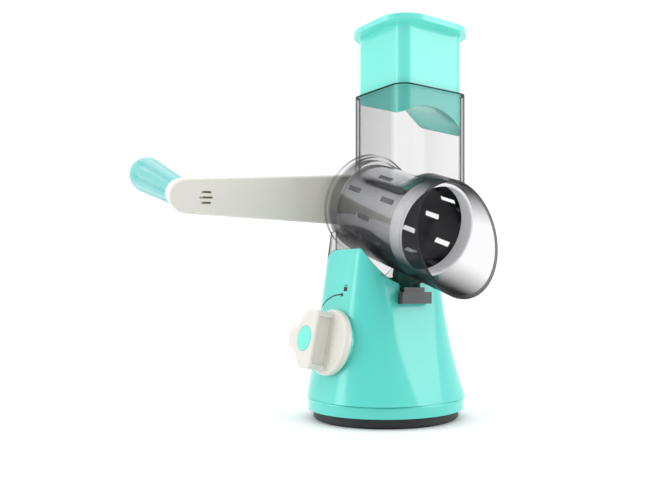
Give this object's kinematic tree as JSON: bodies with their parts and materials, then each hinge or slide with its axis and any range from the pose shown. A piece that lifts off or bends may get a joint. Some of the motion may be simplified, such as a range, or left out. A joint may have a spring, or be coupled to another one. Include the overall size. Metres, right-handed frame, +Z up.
{
  "type": "rotary cheese grater",
  "caption": "Hand-cranked rotary grater: tapered suction base with lock knob, smoked feed tube and drum barrel, pusher, steel slicing drum and crank with grip.",
  "frame": {"origin": "centre of the suction pad's flat underside", "axes": "+Z up, +X towards the outlet, -Y is the side with the lock knob"},
  "size_m": [0.2545, 0.2194, 0.3035],
  "materials": {
    "teal_body": "glossy turquoise moulding",
    "teal_pusher": "glossy light turquoise moulding",
    "teal_grip": "slightly clear turquoise moulding",
    "ivory_plastic": "satin ivory moulding",
    "white_plastic": "satin white moulding",
    "smoke_clear": "polished smoked clear moulding",
    "grey_nylon": "matt moulding",
    "drum_steel": "brushed stainless sheet",
    "bright_steel": "turned steel",
    "black_rubber": "matt soft rubber"
  },
  "bodies": {
    "base": {"suction_pad": "black_rubber", "base_ring": "teal_body", "base_screws": "bright_steel", "pedestal_shell": "teal_body", "lock_shaft_bush": "grey_nylon", "return_spring": "bright_steel"},
    "knob": {"lock_knob": "ivory_plastic", "knob_dot": "teal_pusher", "lock_shaft": "bright_steel", "lock_cam": "grey_nylon", "lock_shaft_clip": "bright_steel"},
    "lifter": {"pull_rod": "bright_steel", "lift_plate": "grey_nylon", "lift_yoke": "grey_nylon"},
    "hopper": {"hopper": "smoke_clear", "crank_bush": "grey_nylon"},
    "tab": {"release_tab": "smoke_clear"},
    "pusher": {"pusher": "teal_pusher"},
    "crank": {"crank_shaft": "bright_steel", "crank_arm": "ivory_plastic", "crank_screw": "bright_steel", "grip_spindle": "bright_steel", "grip_collar": "white_plastic"},
    "grip": {"handle_grip": "teal_grip"},
    "drum": {"drum_shell": "drum_steel", "drum_front_ring": "white_plastic", "drum_rear_hub": "white_plastic"}
  },
  "joints": [
    {"name": "knob_turn", "type": "hinge", "parent": "base", "child": "knob", "pos_m": [0, -0.05078, 0.061], "axis": [0, -0.9794, 0.2018], "range_deg": [-90, 0]},
    {"name": "pad_lift", "type": "slide", "parent": "base", "child": "lifter", "axis": [0, 0, 1], "range_m": [0, 0.003], "deforming": ["return_spring"]},
    {"name": "hopper_lift", "type": "slide", "parent": "base", "child": "hopper", "axis": [0, 0, 1], "range_m": [0, 0.045]},
    {"name": "tab_press", "type": "slide", "parent": "hopper", "child": "tab", "axis": [-1, 0, 0], "range_m": [0, 0.0012], "stiffness_N_per_m": 2000},
    {"name": "pusher_slide", "type": "slide", "parent": "hopper", "child": "pusher", "axis": [0, 0, 1], "range_m": [-0.046, 0.06]},
    {"name": "crank_turn", "type": "hinge", "parent": "hopper", "child": "crank", "pos_m": [-0.0371, 0, 0.17655], "axis": [0.9553, 0, -0.2957], "continuous": true},
    {"name": "grip_spin", "type": "hinge", "parent": "crank", "child": "grip", "pos_m": [-0.08353, -0.14152, 0.17874], "axis": [0.9553, 0, -0.2957], "continuous": true},
    {"name": "drum_pull", "type": "slide", "parent": "crank", "child": "drum", "axis": [0.9553, 0, -0.2957], "range_m": [0, 0.12]}
  ],
  "couplings": [
    {"joint": "knob_turn", "follows": "pad_lift", "rad_per_m": -523.59}
  ]
}
